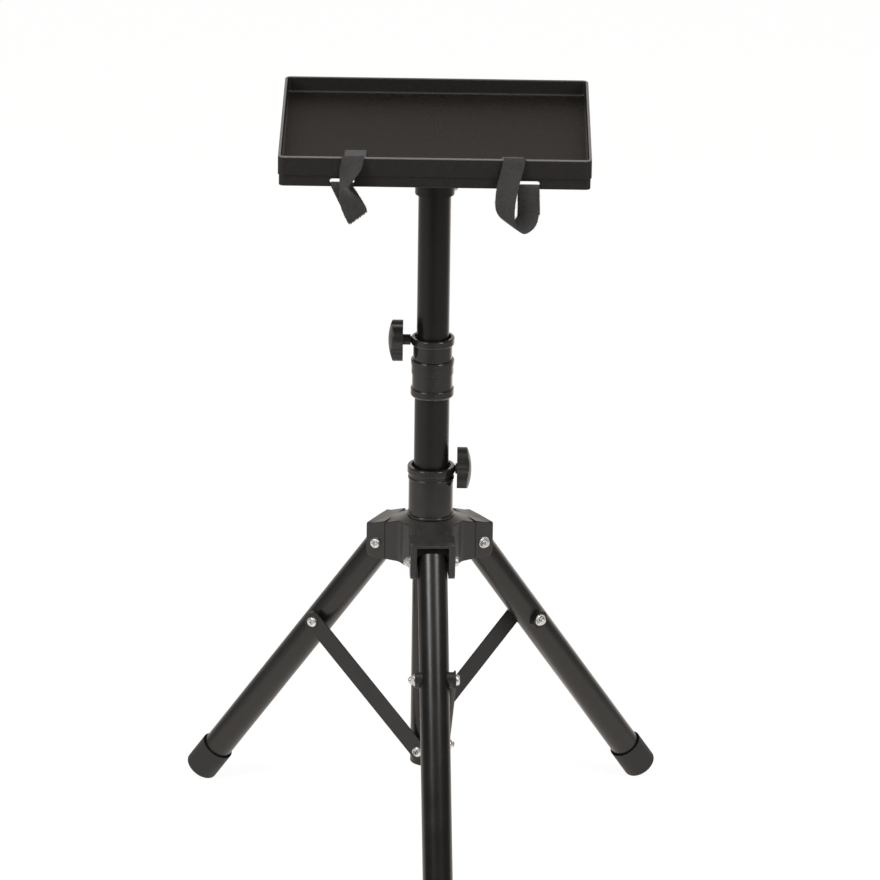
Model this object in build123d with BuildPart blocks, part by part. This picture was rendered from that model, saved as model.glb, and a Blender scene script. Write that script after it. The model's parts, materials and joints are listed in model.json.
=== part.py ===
"""Portable projector stand: a lipped tray on a telescoping column over a folding tripod.

Millimetres, +Z up. The origin is on the floor under the column, and -Y is the front.
"""
import os
from math import atan2, cos, degrees, radians, sin, sqrt

from build123d import *

os.makedirs("parts", exist_ok=True)

# Running clearances
slide_gap = 0.3
pin_gap = 0.05
seat_gap = 0.05

# Tripod: the legs stand out from the column and the whole tripod is turned a little under the tray
leg_spread = 36.0
leg_turn = 3.0
leg_diameter = 35.0
leg_wall = 1.5
leg_above_pivot = 5.0
leg_to_cap = 386.0
leg_in_cap = 32.0
cap_wall = 2.5
cap_end = 8.0
cap_rounding = 4.0
cap_mouth_gap = 1.4
cap_mouth_depth = 4.0

# Hub: three inverted channels under a domed top, with a raised pad round each bolt
hub_pivot_radius = 58.5
hub_past_pivot = 12.5
hub_channel_gap = 1.2
hub_cheek = 7.5
hub_roof = 4.5
hub_below_pivot = 18.5
hub_end_above_pivot = 23.5
hub_top_above_pivot = 38.0
hub_dome_rise = 3.0
hub_corner = 6.0
hub_core_wall = 7.0
hub_web_wall = 9.2
hub_web_rounding = 13.0
hub_edge_rounding = 1.2
hub_pad_rise = 0.8
hub_pad_length = 24.0
hub_pad_drop = 1.8

# Column tubes
main_diameter = 41.0
main_wall = 1.2
upper_diameter = main_diameter - 2 * (main_wall + slide_gap)
upper_wall = 1.5
upper_in_main = 250.0
upper_showing = 175.0
upper_in_socket = 56.0
collar_spacing = 159.0

# Clamp collar on the hub
hub_collar_height = 62.0
hub_collar_wall = 5.4
hub_rim_stand = 1.7
hub_rim_height = 9.0
hub_bead_drop = 13.0
hub_bead_height = 3.0
hub_bead_stand = 0.9
hub_collar_foot_height = 4.0
hub_collar_foot_stand = 1.8

# Clamp collar on the main tube
collar_height = 73.0
collar_neck_wall = 2.4
collar_skirt_wall = 3.2
collar_ring_stand = 1.7
collar_rim_height = 9.0
collar_ring_height = 17.5
collar_ring_drop = 27.0
collar_bead_height = 5.5
collar_bead_stand = 0.8
collar_foot_height = 11.0
collar_foot_rounding = 3.4
collar_rounding = 1.5
bead_rounding = 0.7
collar_over_main = 58.0
mouth_gap = 2.4
mouth_depth = 8.0

# Clamp knobs
knob_reach = 26.0
knob_lobe_radius = 14.0
knob_waist_rounding = 9.0
knob_thickness = 17.0
knob_edge_thickness = 11.5
knob_edge_rounding = 1.2
knob_neck_radius = 6.2
knob_screw_diameter = 8.0
upper_knob_stand = 9.5
lower_knob_stand = 2.4
knob_seat = 0.5
knob_screw_in_head = 8.0

# Braces between the legs and the foot of the column
brace_along_leg = 143.0
brace_drop = 254.0
brace_width = 22.0
brace_thickness = 2.0
saddle_stand = 5.5
seat_stand = 2.5
saddle_width = 15.0
saddle_height = 22.0
column_below_brace = 16.0
plug_thickness = 4.0
plug_depth = 30.0

# Bolts
bolt_diameter = 6.0
bolt_head_diameter = 12.5
bolt_head_height = 4.5
nut_across_flats = 10.0
nut_height = 5.0
washer_diameter = 14.0
washer_thickness = 1.2
bolt_tip = 1.5

# Tray
tray_width = 356.0
tray_depth = 320.0
tray_height = 35.0
tray_wall = 3.0
tray_corner = 7.0
tray_floor_drop = 19.0
tray_floor_thickness = 3.0
tray_ledge = 1.2
tray_edge_rounding = 1.0
tray_lip_rounding = 1.8
tray_floor_rounding = 3.0
slot_spacing = 210.0
slot_length = 28.0
slot_height = 6.0
slot_drop = 28.5

# Socket under the tray
socket_wall = 4.0
socket_below_tray = 56.0
flange_diameter = 110.0
flange_thickness = 4.0
lock_screw_diameter = 8.0
lock_screw_stand = 3.5
lock_screw_above_end = 7.0

# Straps
strap_width = 25.0
strap_thickness = 1.6
strap_clear = 0.4
strap_lip_bend = 1.4
strap_lean_bend = 12.0
strap_loop_bend = 6.0
strap_slot_bend = 1.4
strap_lean = 17.0
strap_lean_start = 6.0
strap_loop_gap = 4.0
right_loop_drop = 84.0
left_loop_drop = 72.0
strap_sewn_gap = 0.2
strap_sewn_drop = 62.0

# Radii and heights that follow from the sizes above
leg_radius = leg_diameter / 2
main_radius = main_diameter / 2
upper_radius = upper_diameter / 2
bolt_radius = bolt_diameter / 2
spread_sin = sin(radians(leg_spread))
spread_cos = cos(radians(leg_spread))
cap_radius = leg_radius + cap_wall
cap_reach = leg_to_cap + leg_in_cap + cap_end
pivot_height = cap_reach * spread_cos + cap_radius * spread_sin - cap_rounding * (spread_sin + spread_cos - 1)
channel_width = leg_diameter + 2 * hub_channel_gap
hub_width = channel_width + 2 * hub_cheek
hub_arm_width = hub_width - 2 * hub_pad_rise
hub_reach = hub_pivot_radius + hub_past_pivot
hub_corner_reach = sqrt(hub_reach**2 + (hub_arm_width / 2) ** 2)
hub_pad_start = hub_reach - hub_pad_length
hub_bottom = pivot_height - hub_below_pivot
hub_top = pivot_height + hub_top_above_pivot
hub_end_top = pivot_height + hub_end_above_pivot
hub_bore = main_radius + slide_gap
hub_core_radius = hub_bore + hub_core_wall
hub_dome_slope = (hub_top - hub_end_top) / (hub_corner_reach - hub_core_radius)
hub_collar_top = hub_top + hub_collar_height
hub_rim_radius = hub_bore + hub_collar_wall + hub_rim_stand
column_top = hub_collar_top + collar_spacing
column_bottom = pivot_height - brace_drop - column_below_brace
collar_bottom = column_top - collar_height
main_top = collar_bottom + collar_over_main
collar_bore = upper_radius + slide_gap
collar_neck_radius = main_radius + collar_neck_wall
collar_skirt_radius = main_radius + collar_skirt_wall
collar_ring_radius = collar_skirt_radius + collar_ring_stand
socket_bottom = column_top + upper_showing
tray_bottom = socket_bottom + socket_below_tray
tray_top = tray_bottom + tray_height
floor_top = tray_top - tray_floor_drop
floor_bottom = floor_top - tray_floor_thickness
slot_level = tray_top - slot_drop
hub_knob_level = hub_collar_top - hub_rim_height / 2
collar_knob_level = column_top - collar_rim_height / 2
brace_height = pivot_height - brace_drop
brace_out = hub_pivot_radius + brace_along_leg * spread_sin
brace_fall = brace_drop - brace_along_leg * spread_cos
brace_length = sqrt(brace_out**2 + brace_fall**2)
brace_face = max(leg_radius + saddle_stand, main_radius + seat_stand)
brace_outer_face = brace_face + brace_thickness
upper_bottom = column_top - upper_in_main

leg_turns = {"front": 270.0 + leg_turn, "right": 30.0 + leg_turn, "left": 150.0 + leg_turn}


def outward(turn):
    """Level direction from the column towards a leg."""
    return Vector(cos(radians(turn)), sin(radians(turn)), 0)


def sideways(turn):
    """Level direction along a leg's hinge pin."""
    return Vector(-sin(radians(turn)), cos(radians(turn)), 0)


def arm_plane(turn):
    """Upright plane through the column and one leg: local x outward, local y up."""
    return Plane(origin=(0, 0, 0), x_dir=outward(turn), z_dir=sideways(turn) * -1)


def pin_plane(turn, radius, height, side):
    """Plane square to a leg's hinge pins, local x outward, facing along the pin."""
    origin = outward(turn) * radius + Vector(0, 0, height) + sideways(turn) * side
    return Plane(origin=origin, x_dir=outward(turn), z_dir=sideways(turn))


def leg_direction(turn):
    """Direction down a leg."""
    return outward(turn) * spread_sin + Vector(0, 0, -spread_cos)


def leg_plane(turn, along):
    """Plane square to a leg at a distance from its pivot, facing the foot."""
    pivot = outward(turn) * hub_pivot_radius + Vector(0, 0, pivot_height)
    origin = pivot + leg_direction(turn) * along
    return Plane(origin=origin, x_dir=sideways(turn), z_dir=leg_direction(turn))


def outer_rings(piece, radius):
    """Round edges of a turned piece outside a radius, from the lowest up."""
    return piece.edges().filter_by(GeomType.CIRCLE).filter_by(lambda e: e.radius > radius).sort_by(Axis.Z)


def save(piece, name):
    """Label a finished piece and write it."""
    piece.part.label = name
    export_step(piece.part, f"parts/{name}.step")


# Hub: the plan of three arms under a turned dome, then the channels, bore and pin holes
with BuildPart() as leg_hub:
    with BuildSketch(Plane.XY.offset(hub_bottom)) as plan:
        for turn in leg_turns.values():
            with Locations(Location((0, 0), turn)):
                Rectangle(hub_reach, hub_arm_width, align=(Align.MIN, Align.CENTER))
        Circle(hub_core_radius + hub_web_wall)
        corners = [v for v in plan.vertices() if Vector(v.X, v.Y).length < hub_reach]
        fillet(corners, hub_web_rounding)
    extrude(amount=hub_top - hub_bottom)
    with BuildSketch(Plane.XZ) as turned:
        with BuildLine():
            inner_end = (hub_core_radius, hub_top)
            outer_end = (hub_corner_reach, hub_end_top)
            Line((0, hub_top), inner_end)
            SagittaArc(inner_end, outer_end, -hub_dome_rise)
            Polyline(outer_end, (hub_corner_reach, hub_bottom), (0, hub_bottom), (0, hub_top))
        make_face()
    revolve(axis=Axis.Z, mode=Mode.INTERSECT)
    underside = leg_hub.edges().filter_by_position(Axis.Z, hub_bottom, hub_bottom)
    arm_ends = [e for e in underside if Vector(e.center().X, e.center().Y).length > hub_reach - hub_corner]
    fillet(arm_ends, hub_corner)
    dome = leg_hub.faces().filter_by(GeomType.REVOLUTION).sort_by(Axis.Z)[-1]
    fillet(dome.edges().filter_by_position(Axis.Z, hub_end_top, hub_top, (True, False)), hub_edge_rounding)
    for turn in leg_turns.values():
        with BuildSketch(arm_plane(turn)):
            with BuildLine():
                Polyline(
                    (hub_pad_start, hub_bottom),
                    (hub_pad_start, hub_end_top - hub_pad_drop + hub_pad_length * hub_dome_slope),
                    (hub_reach, hub_end_top - hub_pad_drop),
                    (hub_reach, hub_bottom + hub_corner),
                    (hub_reach - hub_corner, hub_bottom),
                    close=True,
                )
            make_face()
        extrude(amount=hub_width / 2, both=True)
        with BuildSketch(arm_plane(turn)):
            with BuildLine():
                Polyline(
                    (hub_core_radius, hub_bottom),
                    (hub_core_radius, hub_top - hub_roof),
                    (hub_reach + hub_corner, hub_end_top - hub_roof),
                    (hub_reach + hub_corner, hub_bottom),
                    close=True,
                )
            make_face()
        extrude(amount=channel_width / 2, both=True, mode=Mode.SUBTRACT)
        with BuildSketch(pin_plane(turn, hub_pivot_radius, pivot_height, 0)):
            Circle(bolt_radius)
        extrude(amount=hub_width, both=True, mode=Mode.SUBTRACT)
    with BuildSketch(Plane.XY.offset(hub_bottom)):
        Circle(hub_bore)
    extrude(amount=hub_top - hub_bottom, mode=Mode.SUBTRACT)
save(leg_hub, "leg_hub")

# Hub collar: turned sleeve with a foot, a bead, a rim and an open mouth round the main tube
with BuildPart() as hub_collar:
    body_radius = hub_bore + hub_collar_wall
    foot_radius = body_radius + hub_collar_foot_stand
    bead_radius = body_radius + hub_bead_stand
    bead_top = hub_collar_top - hub_bead_drop
    with BuildSketch(Plane.YZ):
        with BuildLine():
            Polyline(
                (hub_bore, hub_top),
                (foot_radius, hub_top),
                (foot_radius, hub_top + hub_collar_foot_height),
                (body_radius, hub_top + hub_collar_foot_height),
                (body_radius, bead_top - hub_bead_height),
                (bead_radius, bead_top - hub_bead_height),
                (bead_radius, bead_top),
                (body_radius, bead_top),
                (body_radius, hub_collar_top - hub_rim_height),
                (hub_rim_radius, hub_collar_top - hub_rim_height),
                (hub_rim_radius, hub_collar_top),
                (hub_bore + mouth_gap, hub_collar_top),
                (hub_bore + mouth_gap, hub_collar_top - mouth_depth / 4),
                (hub_bore, hub_collar_top - mouth_depth),
                close=True,
            )
        make_face()
    revolve(axis=Axis.Z)
    bead_edges = outer_rings(hub_collar, body_radius + seat_gap)
    fillet(bead_edges.filter_by_position(Axis.Z, bead_top - hub_bead_height, bead_top), bead_rounding)
    fillet(outer_rings(hub_collar, bead_radius), collar_rounding)
    with BuildSketch(Plane.YZ.offset(hub_bore)):
        with Locations((0, hub_knob_level)):
            Circle(knob_screw_diameter / 2)
    extrude(amount=hub_rim_radius, mode=Mode.SUBTRACT)
save(hub_collar, "hub_collar")

# Leg hinge bolts through the hub's cheeks, with their nuts
for side, turn in leg_turns.items():
    with BuildPart() as leg_bolt:
        with BuildSketch(pin_plane(turn, hub_pivot_radius, pivot_height, hub_width / 2)):
            Circle(bolt_head_diameter / 2)
        extrude(amount=bolt_head_height)
        fillet(leg_bolt.faces().sort_by(Axis((0, 0, 0), tuple(sideways(turn))))[-1].edges(), bolt_tip)
        with BuildSketch(pin_plane(turn, hub_pivot_radius, pivot_height, hub_width / 2)):
            Circle(bolt_radius)
        extrude(amount=-(hub_width + washer_thickness + nut_height + bolt_tip))
    save(leg_bolt, f"leg_bolt_{side}")
    with BuildPart() as leg_nut:
        with BuildSketch(pin_plane(turn, hub_pivot_radius, pivot_height, -hub_width / 2)):
            Circle(washer_diameter / 2)
            Circle(bolt_radius, mode=Mode.SUBTRACT)
        extrude(amount=-washer_thickness)
        with BuildSketch(pin_plane(turn, hub_pivot_radius, pivot_height, -hub_width / 2 - washer_thickness)):
            RegularPolygon(nut_across_flats / 2, 6, major_radius=False)
            Circle(bolt_radius, mode=Mode.SUBTRACT)
        extrude(amount=-nut_height)
    save(leg_nut, f"leg_nut_{side}")

# Legs: tubes that end in cups, with saddle spacers and a bolt for the brace
for side, turn in leg_turns.items():
    brace_at = (turn, brace_out, pivot_height - brace_along_leg * spread_cos)
    with BuildPart() as leg_tube:
        with BuildSketch(leg_plane(turn, -leg_above_pivot)):
            Circle(leg_radius)
            Circle(leg_radius - leg_wall, mode=Mode.SUBTRACT)
        extrude(amount=leg_above_pivot + leg_to_cap + leg_in_cap)
        for pin in ((turn, hub_pivot_radius, pivot_height), brace_at):
            with BuildSketch(pin_plane(*pin, 0)):
                Circle(bolt_radius + pin_gap)
            extrude(amount=leg_diameter, both=True, mode=Mode.SUBTRACT)
    save(leg_tube, f"leg_tube_{side}")

    with BuildPart() as foot_cap:
        with BuildSketch(leg_plane(turn, leg_to_cap)):
            Circle(cap_radius)
        extrude(amount=leg_in_cap + cap_end)
        down_leg = Axis((0, 0, 0), tuple(leg_direction(turn)))
        fillet(foot_cap.faces().sort_by(down_leg)[-1].edges(), cap_rounding)
        with BuildSketch(leg_plane(turn, leg_to_cap)):
            Circle(leg_radius + seat_gap)
        extrude(amount=leg_in_cap, mode=Mode.SUBTRACT)
        with BuildSketch(leg_plane(turn, leg_to_cap)):
            Circle(leg_radius + cap_mouth_gap)
        extrude(amount=cap_mouth_depth, mode=Mode.SUBTRACT)
    save(foot_cap, f"foot_cap_{side}")

    with BuildPart() as brace_saddles:
        for facing in (1, -1):
            with BuildSketch(pin_plane(*brace_at, facing * leg_radius / 2)):
                with Locations(Location((0, 0), leg_spread)):
                    SlotOverall(saddle_height, saddle_width, rotation=90)
                Circle(bolt_radius + pin_gap, mode=Mode.SUBTRACT)
            extrude(amount=facing * (brace_face - leg_radius / 2))
        with BuildSketch(leg_plane(turn, brace_along_leg - saddle_height)):
            Circle(leg_radius + seat_gap)
        extrude(amount=2 * saddle_height, mode=Mode.SUBTRACT)
    save(brace_saddles, f"brace_saddles_{side}")

    nut_face = -brace_face
    with BuildPart() as brace_bolt:
        with BuildSketch(pin_plane(*brace_at, brace_outer_face + pin_gap)):
            Circle(bolt_head_diameter / 2)
        extrude(amount=bolt_head_height)
        fillet(brace_bolt.faces().sort_by(Axis((0, 0, 0), tuple(sideways(turn))))[-1].edges(), bolt_tip)
        with BuildSketch(pin_plane(*brace_at, brace_outer_face + pin_gap)):
            Circle(bolt_radius)
        extrude(amount=-(brace_outer_face + pin_gap - nut_face + washer_thickness + nut_height + bolt_tip))
    save(brace_bolt, f"brace_bolt_{side}")

    with BuildPart() as brace_nut:
        with BuildSketch(pin_plane(*brace_at, nut_face)):
            Circle(washer_diameter / 2)
            Circle(bolt_radius, mode=Mode.SUBTRACT)
        extrude(amount=-washer_thickness)
        with BuildSketch(pin_plane(*brace_at, nut_face - washer_thickness)):
            RegularPolygon(nut_across_flats / 2, 6, major_radius=False)
            Circle(bolt_radius, mode=Mode.SUBTRACT)
        extrude(amount=-nut_height)
    save(brace_nut, f"brace_nut_{side}")

# Braces: flat bars with round ends, each with the bolt head at its lower end
brace_slope = degrees(atan2(brace_fall, brace_out))
for side, turn in leg_turns.items():
    with BuildPart() as brace_bar:
        with BuildSketch(pin_plane(turn, brace_out / 2, brace_height + brace_fall / 2, brace_face)):
            SlotCenterToCenter(brace_length, brace_width, rotation=-brace_slope)
        extrude(amount=brace_thickness)
        for radius, height in ((brace_out, brace_height + brace_fall), (0, brace_height)):
            with BuildSketch(pin_plane(turn, radius, height, brace_face)):
                Circle(bolt_radius + pin_gap)
            extrude(amount=brace_thickness, mode=Mode.SUBTRACT)
    save(brace_bar, f"brace_bar_{side}")

    with BuildPart() as brace_foot_bolt:
        with BuildSketch(pin_plane(turn, 0, brace_height, brace_outer_face)):
            Circle(bolt_head_diameter / 2)
        extrude(amount=bolt_head_height)
        along_pin = Axis((0, 0, 0), tuple(sideways(turn)))
        fillet(brace_foot_bolt.faces().sort_by(along_pin)[-1].edges(), bolt_tip)
        with BuildSketch(pin_plane(turn, 0, brace_height, brace_outer_face)):
            Circle(bolt_radius)
        extrude(amount=-brace_thickness)
    save(brace_foot_bolt, f"brace_foot_bolt_{side}")

# Main tube with the plug and the brace seats at its foot
with BuildPart() as main_tube:
    with BuildSketch(Plane.XY.offset(column_bottom)):
        Circle(main_radius)
        Circle(main_radius - main_wall, mode=Mode.SUBTRACT)
    extrude(amount=main_top - column_bottom)
save(main_tube, "main_tube")

with BuildPart() as tube_plug:
    with BuildSketch(Plane.XY.offset(column_bottom)):
        Circle(main_radius)
    extrude(amount=-plug_thickness)
    fillet(tube_plug.faces().sort_by(Axis.Z)[0].edges(), tray_edge_rounding)
    with BuildSketch(Plane.XY.offset(column_bottom)):
        Circle(main_radius - main_wall - seat_gap)
    extrude(amount=plug_depth)
save(tube_plug, "tube_plug")

with BuildPart() as brace_seats:
    for turn in leg_turns.values():
        with BuildSketch(pin_plane(turn, 0, brace_height, main_radius / 2)):
            SlotOverall(saddle_height, saddle_width, rotation=90)
        extrude(amount=brace_face - slide_gap - main_radius / 2)
    with BuildSketch(Plane.XY.offset(brace_height - saddle_height)):
        Circle(main_radius + seat_gap)
    extrude(amount=2 * saddle_height, mode=Mode.SUBTRACT)
save(brace_seats, "brace_seats")

# Upper collar: turned sleeve with a rim, a middle ring and a rounded foot, split mould line in front
with BuildPart() as upper_collar:
    ring_top = column_top - collar_ring_drop
    ring_bottom = ring_top - collar_ring_height
    foot_top = collar_bottom + collar_foot_height
    band_radius = collar_ring_radius - collar_bead_stand
    with BuildSketch(Plane.XZ):
        with BuildLine():
            Polyline(
                (collar_bore, main_top),
                (main_radius, main_top),
                (main_radius, collar_bottom),
                (collar_ring_radius, collar_bottom),
                (collar_ring_radius, foot_top),
                (collar_skirt_radius, foot_top),
                (collar_skirt_radius, ring_bottom),
                (band_radius, ring_bottom),
                (band_radius, ring_top - collar_bead_height),
                (collar_ring_radius, ring_top - collar_bead_height),
                (collar_ring_radius, ring_top),
                (collar_neck_radius, ring_top),
                (collar_neck_radius, column_top - collar_rim_height),
                (collar_ring_radius, column_top - collar_rim_height),
                (collar_ring_radius, column_top),
                (collar_bore + mouth_gap, column_top),
                (collar_bore + mouth_gap, column_top - mouth_depth / 4),
                (collar_bore, column_top - mouth_depth),
                close=True,
            )
        make_face()
    revolve(axis=Axis.Z)
    _, foot_shoulder, _, *upper_edges = outer_rings(upper_collar, band_radius + seat_gap)
    fillet([foot_shoulder, *upper_edges], collar_rounding)
    fillet(outer_rings(upper_collar, band_radius + seat_gap)[0], collar_foot_rounding)
    with BuildSketch(Plane.YZ.offset(-collar_bore)):
        with Locations((0, collar_knob_level)):
            Circle(knob_screw_diameter / 2)
    extrude(amount=-collar_ring_radius, mode=Mode.SUBTRACT)
save(upper_collar, "upper_collar")

# Upper tube
with BuildPart() as upper_tube:
    with BuildSketch(Plane.XY.offset(upper_bottom)):
        Circle(upper_radius)
        Circle(upper_radius - upper_wall, mode=Mode.SUBTRACT)
    extrude(amount=socket_bottom + upper_in_socket - upper_bottom)
save(upper_tube, "upper_tube")

# Clamp knobs: three rounded lobes with a crowned face, a neck and a steel screw
knobs = {
    "upper": (-1, collar_knob_level, collar_ring_radius, upper_knob_stand, collar_bore),
    "lower": (1, hub_knob_level, hub_rim_radius, lower_knob_stand, hub_bore),
}
for name, (facing, level, rim_radius, stand, bore) in knobs.items():
    back = Plane(origin=(facing * (rim_radius + stand), 0, level), x_dir=(0, 0, facing), z_dir=(facing, 0, 0))
    with BuildPart() as knob:
        with BuildSketch(back) as lobes:
            with PolarLocations(knob_reach - knob_lobe_radius, 3):
                Circle(knob_lobe_radius)
            fillet(lobes.vertices(), knob_waist_rounding)
        extrude(amount=knob_thickness)
        with BuildSketch(Plane(origin=back.origin, x_dir=back.x_dir, z_dir=(0, 1, 0))):
            with BuildLine():
                crown = TangentArc((0, knob_thickness), (knob_reach, knob_edge_thickness), tangent=(1, 0))
                Polyline(crown @ 1, (knob_reach, 0), (0, 0), crown @ 0)
            make_face()
        revolve(axis=Axis(back.origin, back.z_dir), mode=Mode.INTERSECT)
        fillet(knob.faces().filter_by(GeomType.SPHERE)[0].edges(), knob_edge_rounding)
        with BuildSketch(back):
            Circle(knob_neck_radius)
        extrude(amount=-(stand - knob_seat))
        with BuildSketch(back.offset(-stand)):
            Circle(knob_screw_diameter / 2)
        extrude(amount=stand + knob_screw_in_head, mode=Mode.SUBTRACT)
    save(knob, f"{name}_knob")

    with BuildPart() as knob_screw:
        with BuildSketch(back.offset(knob_screw_in_head)):
            Circle(knob_screw_diameter / 2 - pin_gap)
        extrude(amount=-(knob_screw_in_head + stand + rim_radius - bore))
    save(knob_screw, f"{name}_knob_screw")

# Tray: a lipped pan over a slotted skirt that steps in under the floor
seam_level = floor_bottom
with BuildPart() as tray_pan:
    with BuildSketch(Plane.XY.offset(seam_level)):
        RectangleRounded(tray_width, tray_depth, tray_corner)
    extrude(amount=tray_top - seam_level)
    lip_edges = tray_pan.faces().sort_by(Axis.Z)[-1].edges()
    fillet(lip_edges, tray_lip_rounding)
    skirt_width = tray_width - 2 * tray_ledge
    skirt_depth = tray_depth - 2 * tray_ledge
    with BuildSketch(Plane.XY.offset(tray_bottom)):
        RectangleRounded(skirt_width, skirt_depth, tray_corner - tray_ledge)
    extrude(amount=seam_level - tray_bottom)
    fillet(tray_pan.faces().sort_by(Axis.Z)[0].edges(), tray_edge_rounding)
    with BuildSketch(Plane.XY.offset(floor_top)):
        RectangleRounded(tray_width - 2 * tray_wall, tray_depth - 2 * tray_wall, tray_corner - tray_wall)
    extrude(amount=tray_top - floor_top, mode=Mode.SUBTRACT)
    fillet(tray_pan.edges().filter_by_position(Axis.Z, floor_top, floor_top), tray_floor_rounding)
    with BuildSketch(Plane.XY.offset(tray_bottom)):
        inner_corner = tray_corner - tray_ledge - tray_wall
        RectangleRounded(skirt_width - 2 * tray_wall, skirt_depth - 2 * tray_wall, inner_corner)
    extrude(amount=floor_bottom - tray_bottom, mode=Mode.SUBTRACT)
    with BuildSketch(Plane.XZ.offset(-tray_depth)):
        with Locations((-slot_spacing / 2, slot_level), (slot_spacing / 2, slot_level)):
            SlotOverall(slot_length, slot_height)
    extrude(amount=2 * tray_depth, mode=Mode.SUBTRACT)
save(tray_pan, "tray_pan")

# Socket under the tray that drops over the upper tube, held by a lock screw
socket_bore = upper_radius + pin_gap
socket_radius = socket_bore + socket_wall
lock_level = socket_bottom + lock_screw_above_end
with BuildPart() as tray_socket:
    with BuildSketch(Plane.XY.offset(floor_bottom)):
        Circle(flange_diameter / 2)
    extrude(amount=-flange_thickness)
    with BuildSketch(Plane.XY.offset(floor_bottom - flange_thickness)):
        Circle(socket_radius)
    extrude(amount=socket_bottom - floor_bottom + flange_thickness)
    with BuildSketch(Plane.XY.offset(socket_bottom)):
        Circle(socket_bore)
    extrude(amount=upper_in_socket + slide_gap, mode=Mode.SUBTRACT)
    with BuildSketch(Plane.YZ):
        with Locations((0, lock_level)):
            Circle(lock_screw_diameter / 2)
    extrude(amount=flange_diameter / 2, mode=Mode.SUBTRACT)
save(tray_socket, "tray_socket")

with BuildPart() as socket_screw:
    with BuildSketch(Plane.YZ.offset(socket_bore)):
        with Locations((0, lock_level)):
            Circle(lock_screw_diameter / 2 - pin_gap)
    extrude(amount=socket_wall + lock_screw_stand)
    fillet(socket_screw.faces().sort_by(Axis.X)[-1].edges(), tray_edge_rounding)
save(socket_screw, "socket_screw")

# Straps: webbing that comes over the front lip, hangs in a loop and is sewn round the bar under its slot
strap_half = strap_thickness / 2
front_face = -tray_depth / 2
skirt_face = front_face + tray_ledge
inside_wall = front_face + tray_wall + strap_clear + strap_half
over_lip = tray_top + strap_clear + strap_half
down_front = front_face - strap_clear - strap_half
through_slot = slot_level - slot_height / 2 + strap_clear + strap_half
behind_bar = skirt_face + tray_wall + strap_clear + strap_half
under_bar = tray_bottom - strap_clear - strap_half
back_strand = skirt_face - strap_loop_gap
sewn_end = back_strand + strap_thickness + strap_sewn_gap
strap_bends = (
    strap_lip_bend,
    strap_lip_bend,
    strap_lean_bend,
    strap_loop_bend,
    strap_loop_bend,
    strap_slot_bend,
    strap_slot_bend,
    strap_slot_bend,
    strap_slot_bend,
)
strap_loops = {"left": (-slot_spacing / 2, left_loop_drop), "right": (slot_spacing / 2, right_loop_drop)}
for side, (place, loop_drop) in strap_loops.items():
    with BuildPart() as strap:
        with BuildSketch(Plane.YZ.offset(place)):
            with BuildLine():
                loop_bottom = tray_top - loop_drop
                front_strand = down_front - strap_lean
                FilletPolyline(
                    (inside_wall, floor_top + tray_floor_rounding + strap_clear),
                    (inside_wall, over_lip),
                    (down_front, over_lip),
                    (down_front, tray_top - strap_lean_start),
                    (front_strand, loop_bottom),
                    (back_strand, loop_bottom),
                    (back_strand, through_slot),
                    (behind_bar, through_slot),
                    (behind_bar, under_bar),
                    (sewn_end, under_bar),
                    (sewn_end, tray_top - strap_sewn_drop),
                    radius=strap_bends,
                )
            trace(line_width=strap_thickness)
        extrude(amount=strap_width / 2, both=True)
    save(strap, f"strap_{side}")
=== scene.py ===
"""Looks for a portable tray stand: black tray with webbing straps on a telescoping tripod.

Metres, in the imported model's own frame: the floor is z = 0 and -Y is the front.
"""
import json
import random
from math import pi, radians, sin, sqrt

import bmesh
import bpy
from mathutils import Euler, Matrix, Vector


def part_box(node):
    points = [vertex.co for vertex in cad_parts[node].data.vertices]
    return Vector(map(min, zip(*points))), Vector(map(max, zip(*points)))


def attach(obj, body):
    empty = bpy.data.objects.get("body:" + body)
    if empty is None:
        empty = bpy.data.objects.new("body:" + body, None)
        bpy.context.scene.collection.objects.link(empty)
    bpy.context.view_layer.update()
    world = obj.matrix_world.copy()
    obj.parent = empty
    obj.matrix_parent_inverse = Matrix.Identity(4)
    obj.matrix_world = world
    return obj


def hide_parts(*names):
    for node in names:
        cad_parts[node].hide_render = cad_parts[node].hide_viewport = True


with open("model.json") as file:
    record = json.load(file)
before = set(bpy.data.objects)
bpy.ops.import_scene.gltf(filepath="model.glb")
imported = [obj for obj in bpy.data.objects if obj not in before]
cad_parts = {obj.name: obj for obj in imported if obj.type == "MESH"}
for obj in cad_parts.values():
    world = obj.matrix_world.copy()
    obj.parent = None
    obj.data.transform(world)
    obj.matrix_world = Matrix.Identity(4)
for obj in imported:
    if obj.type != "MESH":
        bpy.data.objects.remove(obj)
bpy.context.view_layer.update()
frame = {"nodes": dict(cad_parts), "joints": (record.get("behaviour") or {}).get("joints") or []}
joints = {joint["name"]: joint for joint in frame["joints"]}
sides = ("front", "right", "left")

# Leg hub: one black nylon moulding with three channelled arms under a domed top.
# The mould is spark eroded, which leaves a fine even grain and a satin face.
# The legs hang in its channels on bolts.


def new_group(name, inputs, outputs):
    """An empty shader group with the named sockets, and its two ends."""
    group = bpy.data.node_groups.new(name, "ShaderNodeTree")
    for label, kind, value in inputs:
        socket = group.interface.new_socket(label, in_out="INPUT", socket_type=kind)
        if value is not None:
            socket.default_value = value
    for label, kind in outputs:
        group.interface.new_socket(label, in_out="OUTPUT", socket_type=kind)
    start = group.nodes.new("NodeGroupInput")
    end = group.nodes.new("NodeGroupOutput")
    return group, start, end


def feed(tree, socket, value):
    """Link a socket to another one, or set it to a number or a colour."""
    if isinstance(value, bpy.types.NodeSocket):
        tree.links.new(value, socket)
    elif isinstance(value, tuple):
        socket.default_value = (*value, 1.0)
    else:
        socket.default_value = value


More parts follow.
